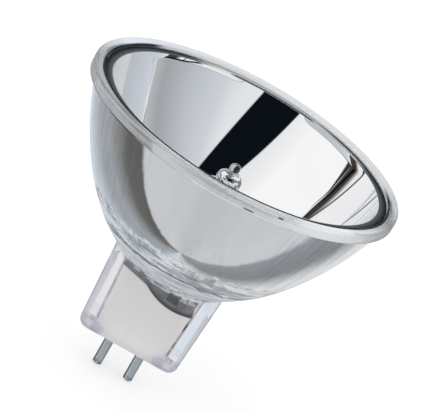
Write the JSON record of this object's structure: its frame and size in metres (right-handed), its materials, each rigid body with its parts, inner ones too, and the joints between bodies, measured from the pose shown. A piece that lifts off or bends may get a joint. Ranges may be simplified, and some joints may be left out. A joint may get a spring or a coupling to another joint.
{
  "type": "projector halogen bulb",
  "caption": "Projector halogen bulb: a clear quartz capsule cemented into a bowl-shaped glass mirror reflector with a boxed glass base and contact pins.",
  "frame": {"origin": "middle of the base's underside, halfway between the contact pins", "axes": "+Z along the optical axis, out of the reflector's mouth; +X from the left contact pin to the right one"},
  "size_m": [0.0508, 0.0508, 0.0445],
  "materials": {
    "reflector_glass": "clear pressed glass, glossy",
    "mirror_coating": "bright mirror film",
    "cement": "matt cast cement",
    "quartz": "clear fused quartz, glossy",
    "tungsten": "drawn tungsten wire",
    "pin_metal": "dull nickel-plated metal",
    "molybdenum": "dull molybdenum"
  },
  "bodies": {
    "root": {"reflector_glass": "reflector_glass", "mirror_coating": "mirror_coating", "base_cement": "cement", "capsule_envelope": "quartz", "filament": "tungsten", "contact_pin_left": "pin_metal", "contact_pin_right": "pin_metal", "lead_wire_left": "molybdenum", "lead_wire_right": "molybdenum", "seal_foil_left": "molybdenum", "seal_foil_right": "molybdenum"}
  },
  "joints": []
}
